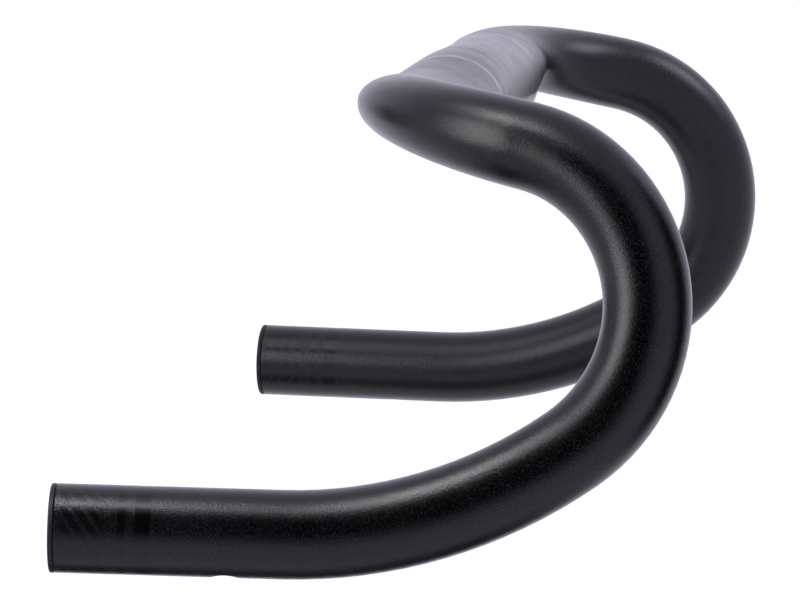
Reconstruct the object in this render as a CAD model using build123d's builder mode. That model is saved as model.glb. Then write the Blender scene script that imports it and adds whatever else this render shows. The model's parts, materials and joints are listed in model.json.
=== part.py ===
"""Flared compact drop handlebar for a bicycle, in millimetres.

The origin is the centre of the stem clamp. +X is the rider's right along the clamp,
+Y is forwards and +Z is up. The left side is the right side mirrored in the plane X = 0.
"""

from build123d import *
import os
from math import cos, radians, sin

os.makedirs("parts", exist_ok=True)

# Stem clamp
CLAMP_RADIUS = 31.8 / 2
CLAMP_HALF = 40.0
CENTRE_WALL = 2.4

# Tops: an oval, deeper than it is high, turned a little back and up from the clamp
TOPS_HEADING = (-2.4, 1.75)  # degrees: azimuth from +X towards +Y, and elevation
OVAL_HALF_DEPTH = 16.2
OVAL_HALF_HEIGHT = 9.1
OVAL_TILT = 7.0  # degrees that the oval's back edge is turned up
TAPER_END = 81.8  # this and the next three are distances from the clamp's edge along the tops
JOINT_AT = 93.8
OVAL_END = 105.8
SHOULDER_AT = 113.8
TAPER_SECTIONS = 5

# Drop: headings at the end of each bend, and the bends' centreline radii
TUBE_RADIUS = 23.8 / 2
WALL = 1.8
RAMP_HEADING = (72.3, -12.2)
HOOK_HEADING = (63.8, -61.3)
LOWER_HEADING = (-83.0, -34.6)
END_HEADING = (-86.4, 1.5)
SHOULDER_BEND = 53.5
HOOK_BEND = 44.8
LOWER_BEND = 46.3
SWEEP_BEND = 128.5
END_RUN = 61.6
RIM_CHAMFER = 0.25
SHOULDER_SECTIONS = 7

# Wiring port under the straight end, turned a little away from the middle of the bar
PORT_RADIUS = 4.0
PORT_FROM_END = 46.7
PORT_TURN = 6.0

# Joint sleeve, bonded inside the oval
SLEEVE_HALF_LENGTH = 11.0
SLEEVE_WALL = 1.5

# End plug: a dished flange, and a split barrel with ribs that grip the bore
FLANGE_THICKNESS = 1.4
FLANGE_EDGE = 0.5
DISH_RADIUS = 8.4
DISH_DEPTH = 0.5
PLUG_CLEARANCE = 0.05
BARREL_LENGTH = 22.0
BARREL_RELIEF = 0.8
BARREL_WALL = 1.6
RIB_WIDTH = 1.8
RIB_COUNT = 3
RIB_PITCH = 5.5
RIB_START = 4.5
SLOT_WIDTH = 2.0
SLOT_FLOOR = 3.0


def heading(azimuth, elevation):
    """Unit vector that points azimuth degrees from +X towards +Y, lifted by elevation."""
    level = cos(radians(elevation))
    return Vector(
        level * cos(radians(azimuth)),
        level * sin(radians(azimuth)),
        sin(radians(elevation)),
    )


def bend(start, before, after, radius, share=1.0):
    """Point and heading at a share of the way along the arc between two headings."""
    angle = radians(before.get_angle(after))
    inward = (after - before * cos(angle)).normalized()
    turned = angle * share
    point = start + before * (radius * sin(turned)) + inward * (radius * (1 - cos(turned)))
    return point, before * cos(turned) + inward * sin(turned)


def across(point, direction):
    """Plane square to the tube at a point, with its x axis level."""
    return Plane(origin=point, x_dir=direction.cross(Vector(0, 0, 1)), z_dir=direction)


def ease(share):
    """Smooth step from 0 to 1."""
    return share * share * (3 - 2 * share)


# Stations along the right half's centreline
tops = heading(*TOPS_HEADING)
ramp = heading(*RAMP_HEADING)
hook = heading(*HOOK_HEADING)
lower = heading(*LOWER_HEADING)
end_way = heading(*END_HEADING)

clamp_edge = Vector(CLAMP_HALF, 0, 0)
taper_end = clamp_edge + tops * TAPER_END
joint = clamp_edge + tops * JOINT_AT
oval_end = clamp_edge + tops * OVAL_END
shoulder = clamp_edge + tops * SHOULDER_AT
ramp_start, _ = bend(shoulder, tops, ramp, SHOULDER_BEND)
hook_end, _ = bend(ramp_start, ramp, hook, HOOK_BEND)
lower_end, _ = bend(hook_end, hook, lower, LOWER_BEND)
end_start, _ = bend(lower_end, lower, end_way, SWEEP_BEND)
tube_end = end_start + end_way * (END_RUN - FLANGE_THICKNESS)
bore_radius = TUBE_RADIUS - WALL
side = end_way.cross(Vector(0, 0, 1)).normalized()  # level, across the straight end


def taper_stations():
    """Section planes along the taper, each with its half depth, half height and wall."""
    stations = []
    for step in range(1, TAPER_SECTIONS + 1):
        share = step / TAPER_SECTIONS
        plane = across(clamp_edge + tops * (TAPER_END * share), tops)
        half_depth = CLAMP_RADIUS + (OVAL_HALF_DEPTH - CLAMP_RADIUS) * ease(share)
        half_height = CLAMP_RADIUS + (OVAL_HALF_HEIGHT - CLAMP_RADIUS) * ease(share)
        stations.append((plane, half_depth, half_height, CENTRE_WALL + (WALL - CENTRE_WALL) * share))
    return stations


def shoulder_stations():
    """Section planes round the shoulder, each with its half depth and half height."""
    bend_length = radians(tops.get_angle(ramp)) * SHOULDER_BEND
    whole = SHOULDER_AT - OVAL_END + bend_length
    stations = [(across(oval_end, tops), OVAL_HALF_DEPTH, OVAL_HALF_HEIGHT)]
    for step in range(SHOULDER_SECTIONS):
        share = step / (SHOULDER_SECTIONS - 1)
        point, direction = bend(shoulder, tops, ramp, SHOULDER_BEND, share)
        along = (SHOULDER_AT - OVAL_END + share * bend_length) / whole
        half_depth = TUBE_RADIUS + (OVAL_HALF_DEPTH - TUBE_RADIUS) * (1 - along) ** 3
        half_height = OVAL_HALF_HEIGHT + (TUBE_RADIUS - OVAL_HALF_HEIGHT) * ease(along)
        stations.append((across(point, direction), half_depth, half_height))
    return stations


# Right half of the centre section: half the clamp, the taper and the oval up to the joint
clamp_way = Vector(1, 0, 0)
with BuildPart() as centre_half:
    for inside, mode in ((0, Mode.ADD), (1, Mode.SUBTRACT)):
        with BuildSketch(across(Vector(0, 0, 0), clamp_way)):
            Circle(CLAMP_RADIUS - inside * CENTRE_WALL)
        extrude(amount=CLAMP_HALF, mode=mode)
        with BuildSketch(across(clamp_edge, clamp_way)):
            Circle(CLAMP_RADIUS - inside * CENTRE_WALL)
        for plane, half_depth, half_height, wall in taper_stations():
            with BuildSketch(plane):
                Ellipse(half_depth - inside * wall, half_height - inside * wall, rotation=-OVAL_TILT)
        loft(mode=mode)
        with BuildSketch(across(taper_end, tops)):
            Ellipse(
                OVAL_HALF_DEPTH - inside * WALL,
                OVAL_HALF_HEIGHT - inside * WALL,
                rotation=-OVAL_TILT,
            )
        extrude(amount=JOINT_AT - TAPER_END, mode=mode)

with BuildPart() as centre_section:
    add(centre_half.part)
    mirror(centre_half.part, about=Plane.YZ)
centre_section.part.label = "centre_section"

# Drop: oval stub, shoulder, hook and straight end, hollow all the way
with BuildPart() as right_drop:
    with BuildLine() as hook_line:
        ThreePointArc(ramp_start, bend(ramp_start, ramp, hook, HOOK_BEND, 0.5)[0], hook_end)
        ThreePointArc(hook_end, bend(hook_end, hook, lower, LOWER_BEND, 0.5)[0], lower_end)
        ThreePointArc(lower_end, bend(lower_end, lower, end_way, SWEEP_BEND, 0.5)[0], end_start)
        Line(end_start, tube_end)
    for wall, mode in ((0.0, Mode.ADD), (WALL, Mode.SUBTRACT)):
        with BuildSketch(across(joint, tops)):
            Ellipse(OVAL_HALF_DEPTH - wall, OVAL_HALF_HEIGHT - wall, rotation=-OVAL_TILT)
        extrude(amount=OVAL_END - JOINT_AT, mode=mode)
        for plane, half_depth, half_height in shoulder_stations()[:-1]:
            with BuildSketch(plane):
                Ellipse(half_depth - wall, half_height - wall, rotation=-OVAL_TILT)
        with BuildSketch(across(ramp_start, ramp)):
            Circle(TUBE_RADIUS - wall)
        loft(mode=mode)
        with BuildSketch(across(ramp_start, ramp)):
            Circle(TUBE_RADIUS - wall)
        sweep(path=hook_line.wire(), mode=mode)
    # Wiring port through the lower wall only
    port_centre = tube_end - end_way * (PORT_FROM_END - FLANGE_THICKNESS)
    turn = radians(PORT_TURN)
    port_up = side.cross(end_way) * cos(turn) + side * sin(turn)
    with BuildSketch(Plane(origin=port_centre, x_dir=end_way, z_dir=port_up)):
        Circle(PORT_RADIUS)
    extrude(amount=-2 * TUBE_RADIUS, mode=Mode.SUBTRACT)
    # The bore's rim is the nearest circle to the end's centre, and the outer rim is the next
    rims = right_drop.edges().filter_by(GeomType.CIRCLE).sort_by_distance(tube_end)
    chamfer(rims[1], RIM_CHAMFER)
right_drop.part.label = "right_drop"

with BuildPart() as left_drop:
    mirror(right_drop.part, about=Plane.YZ)
left_drop.part.label = "left_drop"

# Sleeve that joins the centre section to a drop from inside
with BuildPart() as right_joint_sleeve:
    with BuildSketch(across(joint - tops * SLEEVE_HALF_LENGTH, tops)):
        Ellipse(OVAL_HALF_DEPTH - WALL, OVAL_HALF_HEIGHT - WALL, rotation=-OVAL_TILT)
        Ellipse(
            OVAL_HALF_DEPTH - WALL - SLEEVE_WALL,
            OVAL_HALF_HEIGHT - WALL - SLEEVE_WALL,
            rotation=-OVAL_TILT,
            mode=Mode.SUBTRACT,
        )
    extrude(amount=2 * SLEEVE_HALF_LENGTH)
right_joint_sleeve.part.label = "right_joint_sleeve"

with BuildPart() as left_joint_sleeve:
    mirror(right_joint_sleeve.part, about=Plane.YZ)
left_joint_sleeve.part.label = "left_joint_sleeve"

# End plug, turned about the tube's axis; its profile's x runs outwards, its y along the tube
rib_radius = bore_radius - PLUG_CLEARANCE
barrel_radius = bore_radius - BARREL_RELIEF
profile_plane = Plane(origin=tube_end, x_dir=side, z_dir=side.cross(end_way))
with BuildPart() as right_end_plug:
    with BuildSketch(profile_plane) as flange:
        Rectangle(TUBE_RADIUS, FLANGE_THICKNESS, align=(Align.MIN, Align.MIN))
        fillet(flange.vertices().group_by(Axis.X)[-1].sort_by(Axis.Y)[-1], FLANGE_EDGE)
        chamfer(flange.vertices().group_by(Axis.X)[-1].sort_by(Axis.Y)[0], RIM_CHAMFER)
        with Locations((0, FLANGE_THICKNESS)):
            Rectangle(
                DISH_RADIUS,
                2 * DISH_DEPTH,
                align=(Align.MIN, Align.CENTER),
                mode=Mode.SUBTRACT,
            )
    with BuildSketch(profile_plane):
        Rectangle(barrel_radius, BARREL_LENGTH, align=(Align.MIN, Align.MAX))
        for rib in range(RIB_COUNT):
            with Locations((0, -RIB_START - rib * RIB_PITCH)):
                Rectangle(rib_radius, RIB_WIDTH, align=(Align.MIN, Align.MAX))
    revolve(axis=Axis(tube_end, end_way))
    with BuildSketch(across(tube_end - end_way * BARREL_LENGTH, end_way)):
        Circle(barrel_radius - BARREL_WALL)
        Rectangle(2 * TUBE_RADIUS, SLOT_WIDTH)
        Rectangle(SLOT_WIDTH, 2 * TUBE_RADIUS)
    extrude(amount=BARREL_LENGTH - SLOT_FLOOR, mode=Mode.SUBTRACT)
right_end_plug.part.label = "right_end_plug"

with BuildPart() as left_end_plug:
    mirror(right_end_plug.part, about=Plane.YZ)
left_end_plug.part.label = "left_end_plug"

for piece in (
    centre_section,
    right_drop,
    left_drop,
    right_joint_sleeve,
    left_joint_sleeve,
    right_end_plug,
    left_end_plug,
):
    export_step(piece.part, f"parts/{piece.part.label}.step")
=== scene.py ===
"""A flared compact drop handlebar in matte black, in a plain white studio.

Metres, in the part's own frame: the origin is the centre of the stem clamp, +X is the rider's
right, +Y is forwards and +Z is up. The CAD model carries every shape. This script welds the seams
in copies of the three tubes, gives each piece its material, and sets the camera, lights and floor.
"""

import json
from math import cos, pi, radians, sin

import bmesh
import bpy
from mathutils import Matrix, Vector


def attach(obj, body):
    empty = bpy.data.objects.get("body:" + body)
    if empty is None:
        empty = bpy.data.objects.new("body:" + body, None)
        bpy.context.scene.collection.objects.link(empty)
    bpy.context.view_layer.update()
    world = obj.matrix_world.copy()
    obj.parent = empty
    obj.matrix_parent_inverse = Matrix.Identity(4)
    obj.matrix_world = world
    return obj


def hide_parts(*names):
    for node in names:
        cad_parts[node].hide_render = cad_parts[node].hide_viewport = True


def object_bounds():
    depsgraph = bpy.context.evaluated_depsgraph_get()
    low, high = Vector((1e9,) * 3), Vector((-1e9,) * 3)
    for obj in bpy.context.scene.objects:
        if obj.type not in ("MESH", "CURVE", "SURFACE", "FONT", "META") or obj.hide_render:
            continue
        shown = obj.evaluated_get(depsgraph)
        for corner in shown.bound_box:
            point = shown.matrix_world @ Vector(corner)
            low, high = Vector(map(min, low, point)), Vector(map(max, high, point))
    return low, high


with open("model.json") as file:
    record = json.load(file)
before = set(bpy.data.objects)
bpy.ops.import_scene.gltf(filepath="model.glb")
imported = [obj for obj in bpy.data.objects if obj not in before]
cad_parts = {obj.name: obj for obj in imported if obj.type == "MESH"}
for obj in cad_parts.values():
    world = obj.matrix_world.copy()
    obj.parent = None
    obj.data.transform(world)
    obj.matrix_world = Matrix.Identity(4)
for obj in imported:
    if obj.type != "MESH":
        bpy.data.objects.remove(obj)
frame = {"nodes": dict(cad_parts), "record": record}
cad_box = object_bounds()

MM = 0.001

# Camera: a long lens off the rider's right, a little above the bar. Degrees, and mm of lens
CAMERA_AT = Vector((1.856, 0.154, 0.0935))
CAMERA_AZIMUTH = 5.43
CAMERA_PITCH = 4.79
CAMERA_LENS = 278.3
SENSOR_WIDTH = 36

# Studio
FLOOR_DROP = 0.45
FLOOR_SIZE = 200
FLOOR_PAINT = (0.85, 0.85, 0.86)
FLOOR_ROUGHNESS = 0.9
FLOOR_GLOW = 0.25
BACKDROP = (1, 1, 1)
BACKDROP_GLOW = 1.05
AMBIENT = (0.95, 0.9, 1.1)

# Share of a soft box's or card's width over which its rim fades
FEATHER = 0.3

# Tubes: doubled points closer than the gap are one, and steeper edges than this, in degrees, are sharp
SEAM_GAP = 0.000002
SHARP_EDGE = 30

# Bead-blasted, anodised black coating
COATING = (0.0003, 0.0003, 0.0004)
COATING_ROUGHNESS = 0.21
COATING_SPECULAR = 0.28
MOTTLE_PITCH = 0.012
MOTTLE_ROUGHNESS = (-0.02, 0.03)
CLOUD_PITCH = 0.045
# Share of the painted glint that stays where the cloud noise is low
CLOUD_PAINTED_GLINT = 0.6
DENT_PITCH = 0.006
DENT_DEPTH = 0.00002
GRAIN_PITCH = 0.00034
GRAIN_DEPTH = 0.00007
# Painted glint: lighter specks in the coating's colour stand in for light sparkling off the blasted
# grain
PAINTED_GLINT = (0.014, 0.014, 0.015)
PAINTED_GLINT_SPAN = (0.03, 0.17)

# Gloss marks near each end of the drops, as distances from the tube's end
GLOSS_ROUGHNESS = 0.18
GLOSS_GRAIN = 0.4
GLOSS_COVER = 0.85
HATCH_SPAN = (0.0014, 0.013)
HATCH_PITCH = 0.0036
HATCH_STRIPES = 15
HATCH_FILL = 0.6
RING_SPANS = ((0.0168, 0.0189), (0.0214, 0.0255))

# Printed marks on the centre section, as distances from its middle
PRINT_GREY = (0.2, 0.2, 0.215)
PRINT_WORN = 0.35
PRINT_WEAR_SPAN = (0.35, 0.55)
FINE_RINGS = (0.0560, 0.0578, 0.0596, 0.0614, 0.0632)
FINE_RING_WIDTH = 0.0008
WIDE_RING = (0.0725, 0.0765)
EDGE_RING = (0.0446, 0.0453)
TICK_SPAN = (0.0462, 0.0490)
TICK_COUNT = 24
TICK_FILL = 0.12

# Soft edge of every mark, and of stripes as a share of their step
MARK_EDGE = 0.00008
STRIPE_EDGE = 0.06

# Noise runs mostly between these values
NOISE_SPAN = (0.3, 0.7)

# Moulded black nylon of the end plugs
NYLON = ((0.003, 0.003, 0.003), (0.006, 0.006, 0.006))
NYLON_ROUGHNESS = (0.48, 0.6)
NYLON_SPECULAR = 0.25
NYLON_FLOW_PITCH = 0.004
NYLON_TEXTURE_PITCH = 0.0003
NYLON_TEXTURE_DEPTH = 0.00002

# Bare extruded aluminium of the sleeves
ALUMINIUM = ((0.5, 0.5, 0.52), (0.62, 0.62, 0.63))
ALUMINIUM_ROUGHNESS = (0.3, 0.45)
OXIDE_PITCH = 0.005
DIE_LINE_PITCH = 0.0003
DIE_LINE_DEPTH = 0.00001
DIE_LINE_STRETCH = 0.03


class Graph:
    """The node tree of a material, a light or the world, with a short call for each kind of node."""

    def __init__(self, owner):
        owner.use_nodes = True
        self.tree = owner.node_tree
        self.shader = self.tree.nodes.get("Principled BSDF")

    @classmethod
    def of_material(cls, name):
        material = bpy.data.materials.new(name)
        return material, cls(material)

    def feed(self, socket, value):
        """Link value to socket if it is another node's output, or else set it there."""
        if isinstance(value, bpy.types.NodeSocket):
            self.tree.links.new(value, socket)
        else:
            socket.default_value = value

    def new(self, kind, **settings):
        node = self.tree.nodes.new(kind)
        for name, value in settings.items():
            setattr(node, name, value)
        return node

    def fed(self, node, values, out=0):
        """Output of a node whose inputs take values in turn."""
        for socket, value in zip(node.inputs, values):
            self.feed(socket, value)
        return node.outputs[out]

    def math(self, operation, *values):
        return self.fed(self.new("ShaderNodeMath", operation=operation), values)

    def vector(self, operation, *values, out="Vector"):
        return self.fed(self.new("ShaderNodeVectorMath", operation=operation), values, out)

    def remap(self, value, low, high, start, end):
        """Carry low..high smoothly onto start..end, flat beyond either."""
        node = self.new("ShaderNodeMapRange", interpolation_type="SMOOTHSTEP")
        return self.fed(node, (value, low, high, start, end), "Result")

    def band(self, value, low, high, edge=MARK_EDGE):
        """1 where value lies between low and high, 0 outside, with a soft edge."""
        rise = self.remap(value, low - edge, low + edge, 0, 1)
        fall = self.remap(value, high - edge, high + edge, 1, 0)
        return self.math("MULTIPLY", rise, fall)

    def either(self, masks):
        """1 where any mask is 1."""
        total = masks[0]
        for mask in masks[1:]:
            total = self.math("MAXIMUM", total, mask)
        return total

    def noise(self, point, pitch, detail=2):
        node = self.new("ShaderNodeTexNoise")
        self.feed(node.inputs["Vector"], point)
        node.inputs["Scale"].default_value = 1 / pitch
        node.inputs["Detail"].default_value = detail
        return node.outputs["Fac"]

    def mix(self, share, first, second):
        """Blend two colours, each an output or red, green and blue."""
        node = self.new("ShaderNodeMix", data_type="RGBA")
        self.feed(node.inputs["Factor"], share)
        for socket, colour in ((node.inputs["A"], first), (node.inputs["B"], second)):
            self.feed(socket, (*colour, 1) if isinstance(colour, tuple) else colour)
        return node.outputs["Result"]

    def mix_shaders(self, share, first, second):
        return self.fed(self.new("ShaderNodeMixShader"), (share, first, second))

    def glow(self, kind, colour, strength):
        """A background or an emission of one colour."""
        return self.fed(self.new(kind), ((*colour, 1), strength))

    def bump(self, height, depth, under=None):
        """Bump whose height of 1 stands depth metres proud."""
        node = self.new("ShaderNodeBump")
        node.inputs["Strength"].default_value = 1
        node.inputs["Distance"].default_value = depth
        self.feed(node.inputs["Height"], height)
        if under is not None:
            self.feed(node.inputs["Normal"], under)
        return node.outputs["Normal"]

    def place(self, kind="Object"):
        return self.new("ShaderNodeTexCoord").outputs[kind]

    def folded_place(self):
        """Object coordinates with the rider's left folded onto the right."""
        point = self.place()
        upright = self.vector("MULTIPLY", point, (0, 1, 1))
        return self.vector("MULTIPLY_ADD", self.vector("ABSOLUTE", point), (1, 0, 0), upright)

    def feather(self, place):
        """1 over the middle of a unit square, fading to 0 at its rim."""
        parts = self.new("ShaderNodeSeparateXYZ")
        self.feed(parts.inputs["Vector"], place)
        half = FEATHER / 2
        masks = [self.band(parts.outputs[axis], half, 1 - half, half) for axis in "XY"]
        return self.math("MULTIPLY", *masks)

    def finish(self, colour, roughness, normal):
        self.feed(self.shader.inputs["Base Color"], colour)
        self.feed(self.shader.inputs["Roughness"], roughness)
        self.feed(self.shader.inputs["Normal"], normal)


def turn_about(graph, point, centre, axis):
    """Distance past centre along axis, and the turn round it from 0 to 1."""
    side = axis.cross(Vector((0, 0, 1))).normalized()
    up = side.cross(axis)
    offset = graph.vector("SUBTRACT", point, centre)
    along = graph.vector("DOT_PRODUCT", offset, axis, out="Value")
    across = graph.vector("DOT_PRODUCT", offset, side, out="Value")
    above = graph.vector("DOT_PRODUCT", offset, up, out="Value")
    angle = graph.math("ARCTAN2", above, across)
    return along, graph.math("MULTIPLY_ADD", angle, 1 / (2 * pi), 0.5)


def stripes(graph, phase, fill):
    """Bands that fill a share of each whole step of phase."""
    step = graph.math("FRACT", phase)
    return graph.band(step, 0.5 - fill / 2, 0.5 + fill / 2, STRIPE_EDGE)


def end_marks(graph, point):
    """Gloss hatch and two plain rings near the end of each drop."""
    mount = next(m for m in frame["record"]["mounts"] if m["name"] == "right_grip_end")
    axis = Vector(mount["axis"])
    tube_end = Vector(mount["pos_m"]) + axis * (mount["dims"]["length_mm"] * MM / 2)
    inwards, turn = turn_about(graph, point, tube_end, -axis)
    slant = graph.math("MULTIPLY", inwards, 1 / HATCH_PITCH)
    phase = graph.math("MULTIPLY_ADD", turn, HATCH_STRIPES, slant)
    hatch = graph.math("MULTIPLY", stripes(graph, phase, HATCH_FILL), graph.band(inwards, *HATCH_SPAN))
    return graph.either([hatch] + [graph.band(inwards, *span) for span in RING_SPANS])


def clamp_marks(graph, point):
    """Printed rings and ticks on each side of the stem clamp."""
    across, turn = turn_about(graph, point, Vector((0, 0, 0)), Vector((1, 0, 0)))
    fine = [graph.band(across, at, at + FINE_RING_WIDTH) for at in FINE_RINGS]
    rings = [graph.band(across, *WIDE_RING), graph.band(across, *EDGE_RING)]
    marks = stripes(graph, graph.math("MULTIPLY", turn, TICK_COUNT), TICK_FILL)
    ticks = graph.math("MULTIPLY", marks, graph.band(across, *TICK_SPAN))
    return graph.either(fine + rings + [ticks])


def coating(name, gloss=None, prints=None):
    """Black coating over a bead-blasted tube, with its marks, and painted glints of the blasted grain in
    its colour.
    """
    material, graph = Graph.of_material(name)
    point = graph.folded_place()
    grain = graph.math("SUBTRACT", graph.noise(point, GRAIN_PITCH, 1), 0.5)
    mottle = graph.noise(point, MOTTLE_PITCH, 4)
    cloud = graph.noise(point, CLOUD_PITCH)
    smoother, rougher = (COATING_ROUGHNESS + change for change in MOTTLE_ROUGHNESS)
    roughness = graph.remap(mottle, *NOISE_SPAN, smoother, rougher)
    # Painted glint: the grain lightens the colour in specks, as if light sparkled off the blasted
    # surface
    painted_glint_share = graph.remap(grain, *PAINTED_GLINT_SPAN, 0, graph.remap(cloud, *NOISE_SPAN, CLOUD_PAINTED_GLINT, 1))
    colour = graph.mix(painted_glint_share, COATING, PAINTED_GLINT)
    height = grain
    if gloss:
        shine = gloss(graph, point)
        colour = graph.mix(graph.math("MULTIPLY", shine, GLOSS_COVER), colour, COATING)
        roughness = graph.math("MULTIPLY_ADD", shine, GLOSS_ROUGHNESS - COATING_ROUGHNESS, roughness)
        height = graph.math("MULTIPLY", grain, graph.math("MULTIPLY_ADD", shine, GLOSS_GRAIN - 1, 1))
    if prints:
        wear = graph.remap(mottle, *PRINT_WEAR_SPAN, PRINT_WORN, 1)
        colour = graph.mix(graph.math("MULTIPLY", prints(graph, point), wear), colour, PRINT_GREY)
    dents = graph.bump(graph.noise(point, DENT_PITCH), DENT_DEPTH)
    graph.finish(colour, roughness, graph.bump(height, GRAIN_DEPTH, dents))
    graph.shader.inputs["Specular IOR Level"].default_value = COATING_SPECULAR
    return material


def moulded_plastic(name):
    """Black nylon with a fine spark-eroded texture."""
    material, graph = Graph.of_material(name)
    texture = graph.noise(graph.place(), NYLON_TEXTURE_PITCH)
    flow = graph.noise(graph.place(), NYLON_FLOW_PITCH, 3)
    roughness = graph.remap(flow, *NOISE_SPAN, *NYLON_ROUGHNESS)
    graph.finish(graph.mix(flow, *NYLON), roughness, graph.bump(texture, NYLON_TEXTURE_DEPTH))
    graph.shader.inputs["Specular IOR Level"].default_value = NYLON_SPECULAR
    return material


def bare_aluminium(name):
    """Extruded aluminium with die lines along the tube and a dull oxide."""
    material, graph = Graph.of_material(name)
    drawn = graph.vector("MULTIPLY", graph.place(), (DIE_LINE_STRETCH, 1, 1))
    lines = graph.noise(drawn, DIE_LINE_PITCH, 3)
    oxide = graph.noise(graph.place(), OXIDE_PITCH, 4)
    roughness = graph.remap(lines, *NOISE_SPAN, *ALUMINIUM_ROUGHNESS)
    graph.finish(graph.mix(oxide, *ALUMINIUM), roughness, graph.bump(lines, DIE_LINE_DEPTH))
    graph.shader.inputs["Metallic"].default_value = 1
    return material


def coat(material, *names):
    """Give a material to CAD nodes that are shown as they are."""
    for name in names:
        node = frame["nodes"][name]
        node.data.materials.clear()
        node.data.materials.append(material)


def welded_tube(material, name):
    """The node's own shape with its seams welded, so that reflections run unbroken round the tube.

    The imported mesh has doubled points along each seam, with a different normal on each side.
    """
    mesh = frame["nodes"][name].data.copy()
    shape = bmesh.new()
    shape.from_mesh(mesh)
    bmesh.ops.remove_doubles(shape, verts=shape.verts, dist=SEAM_GAP)
    shape.to_mesh(mesh)
    shape.free()
    split_normals = mesh.attributes.get("custom_normal")
    if split_normals is not None:
        mesh.attributes.remove(split_normals)
    mesh.set_sharp_from_angle(angle=radians(SHARP_EDGE))
    mesh.materials.clear()
    mesh.materials.append(material)
    piece = bpy.data.objects.new(name + "_tube", mesh)
    bpy.context.scene.collection.objects.link(piece)
    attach(piece, "handlebar")
    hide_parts(name)


def make_camera():
    data = bpy.data.cameras.new("camera")
    data.lens = CAMERA_LENS
    data.sensor_width = SENSOR_WIDTH
    data.clip_end = FLOOR_SIZE
    camera = bpy.data.objects.new("camera", data)
    bpy.context.scene.collection.objects.link(camera)
    azimuth = radians(CAMERA_AZIMUTH)
    pitch = radians(CAMERA_PITCH)
    way = Vector((-cos(pitch) * cos(azimuth), -cos(pitch) * sin(azimuth), -sin(pitch)))
    camera.location = CAMERA_AT
    camera.rotation_euler = way.to_track_quat("-Z", "Y").to_euler()
    bpy.context.scene.camera = camera


def softbox(name, at, target, size, radiance, colour=(1, 1, 1), spread=180):
    """Area light with a soft rim, of a given brightness whatever its size, that shows only in gloss."""
    data = bpy.data.lights.new(name, "AREA")
    data.shape = "RECTANGLE"
    data.size, data.size_y = size
    data.energy = radiance * pi * size[0] * size[1]
    data.color = colour
    data.spread = radians(spread)
    graph = Graph(data)
    place = graph.new("ShaderNodeNewGeometry").outputs["Parametric"]
    graph.feed(graph.tree.nodes["Emission"].inputs["Strength"], graph.feather(place))
    light = bpy.data.objects.new(name, data)
    bpy.context.scene.collection.objects.link(light)
    light.location = at
    light.rotation_euler = (Vector(target) - Vector(at)).to_track_quat("-Z", "Y").to_euler()
    light.visible_camera = False
    light.visible_diffuse = False


def make_world():
    """White to the camera, and a cooler white to all that it lights."""
    world = bpy.data.worlds.new("studio")
    bpy.context.scene.world = world
    graph = Graph(world)
    backdrop = graph.glow("ShaderNodeBackground", BACKDROP, BACKDROP_GLOW)
    ambient = graph.glow("ShaderNodeBackground", AMBIENT, 1)
    seen = graph.new("ShaderNodeLightPath").outputs["Is Camera Ray"]
    surface = graph.mix_shaders(seen, ambient, backdrop)
    graph.feed(graph.tree.nodes["World Output"].inputs["Surface"], surface)


def floor_paint():
    material, graph = Graph.of_material("floor_paint")
    inputs = graph.shader.inputs
    inputs["Base Color"].default_value = (*FLOOR_PAINT, 1)
    inputs["Roughness"].default_value = FLOOR_ROUGHNESS
    inputs["Specular IOR Level"].default_value = 0
    inputs["Emission Color"].default_value = (1, 1, 1, 1)
    inputs["Emission Strength"].default_value = FLOOR_GLOW
    return material


def make_floor():
    low = cad_box[0]
    bpy.ops.mesh.primitive_plane_add(size=FLOOR_SIZE, location=(0, 0, low[2] - FLOOR_DROP))
    floor = bpy.context.object
    floor.name = "floor"
    floor.data.materials.append(floor_paint())


def card_paint(name, grey):
    """Grey that fades to clear at the card's rim."""
    material, graph = Graph.of_material(name)
    clear = graph.new("ShaderNodeBsdfTransparent").outputs["BSDF"]
    paint = graph.glow("ShaderNodeEmission", (1, 1, 1), grey)
    surface = graph.mix_shaders(graph.feather(graph.place("UV")), clear, paint)
    graph.feed(graph.tree.nodes["Material Output"].inputs["Surface"], surface)
    return material


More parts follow.
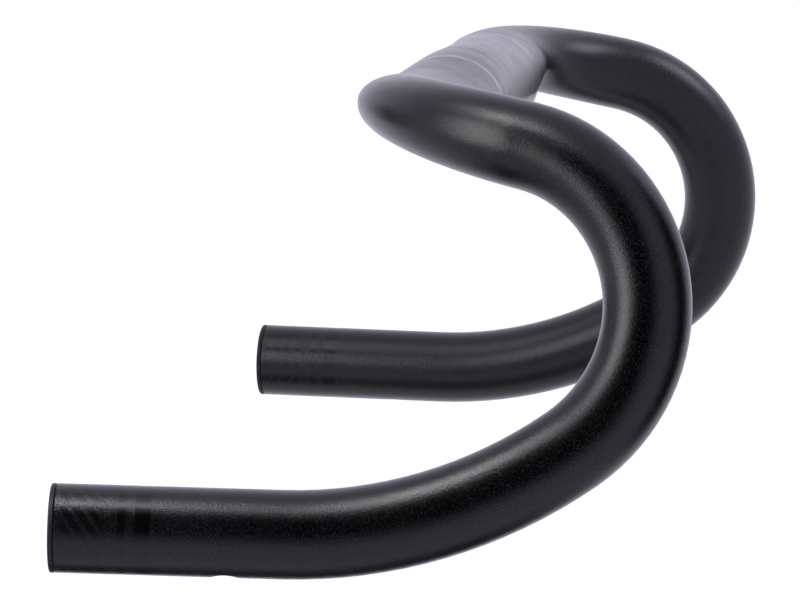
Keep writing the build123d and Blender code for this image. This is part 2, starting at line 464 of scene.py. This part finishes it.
def card(name, at, size, facing, grey=0):
    """Dark card that shows only in gloss, and tames the reflections on one side of the bar."""
    bpy.ops.mesh.primitive_plane_add(size=1, location=at)
    sheet = bpy.context.object
    sheet.name = name
    sheet.rotation_euler = Vector(facing).to_track_quat("Z", "Y").to_euler()
    sheet.scale = (size[0] * (1 + FEATHER / 2), size[1] * (1 + FEATHER / 2), 1)
    sheet.visible_camera = False
    sheet.visible_shadow = False
    sheet.visible_diffuse = False
    sheet.data.materials.append(card_paint(name + "_grey", grey))


def make_lights():
    softbox("left_box", at=(0.47, -0.36, 0.15), target=(0.23, 0.03, 0.1), size=(0.36, 0.6), radiance=6.3)
    softbox(
        "top_box",
        at=(0.41, -0.25, 0.62),
        target=(0.36, -0.17, 0),
        size=(0.42, 0.26),
        radiance=3.3,
        spread=70,
    )
    softbox("top_fill", at=(0.6, -0.8, 1.7), target=(0.6, -0.8, 0), size=(1.6, 2.0), radiance=1.6)
    softbox(
        "far_box",
        at=(-0.33, 0.62, 0.5),
        target=(-0.24, 0.08, -0.02),
        size=(0.5, 0.5),
        radiance=0.6,
        colour=AMBIENT,
        spread=60,
    )


def make_cards():
    card("front_card", at=(0.55, 0.05, 0.09), size=(0.48, 0.7), facing=(-1, 0, 0))
    card("upper_card", at=(0.56, -0.2, 0.2), size=(0.26, 0.16), facing=(-1, 0, 0))
    card("right_card", at=(0.2, 0.17, -0.03), size=(0.10, 0.36), facing=(0, -1, 0))
    card("under_card", at=(0.18, -0.03, -0.19), size=(0.13, 0.3), facing=(0, 0, 1), grey=0.1)
    card("floor_card", at=(-0.02, -0.05, -0.45), size=(0.3, 0.5), facing=(0, 0, 1), grey=0.3)
    card("left_card", at=(-0.02, -0.35, 0.0), size=(0.24, 0.2), facing=(0, 1, 0), grey=0.2)


make_camera()
make_world()
bpy.context.scene.view_settings.view_transform = "Standard"
make_floor()
make_lights()
make_cards()

drop_coating = coating("drop_coating", gloss=end_marks)
welded_tube(drop_coating, "right_drop")
welded_tube(drop_coating, "left_drop")
welded_tube(coating("centre_coating", prints=clamp_marks), "centre_section")
coat(moulded_plastic("plug_plastic"), "right_end_plug", "left_end_plug")
coat(bare_aluminium("sleeve_aluminium"), "right_joint_sleeve", "left_joint_sleeve")
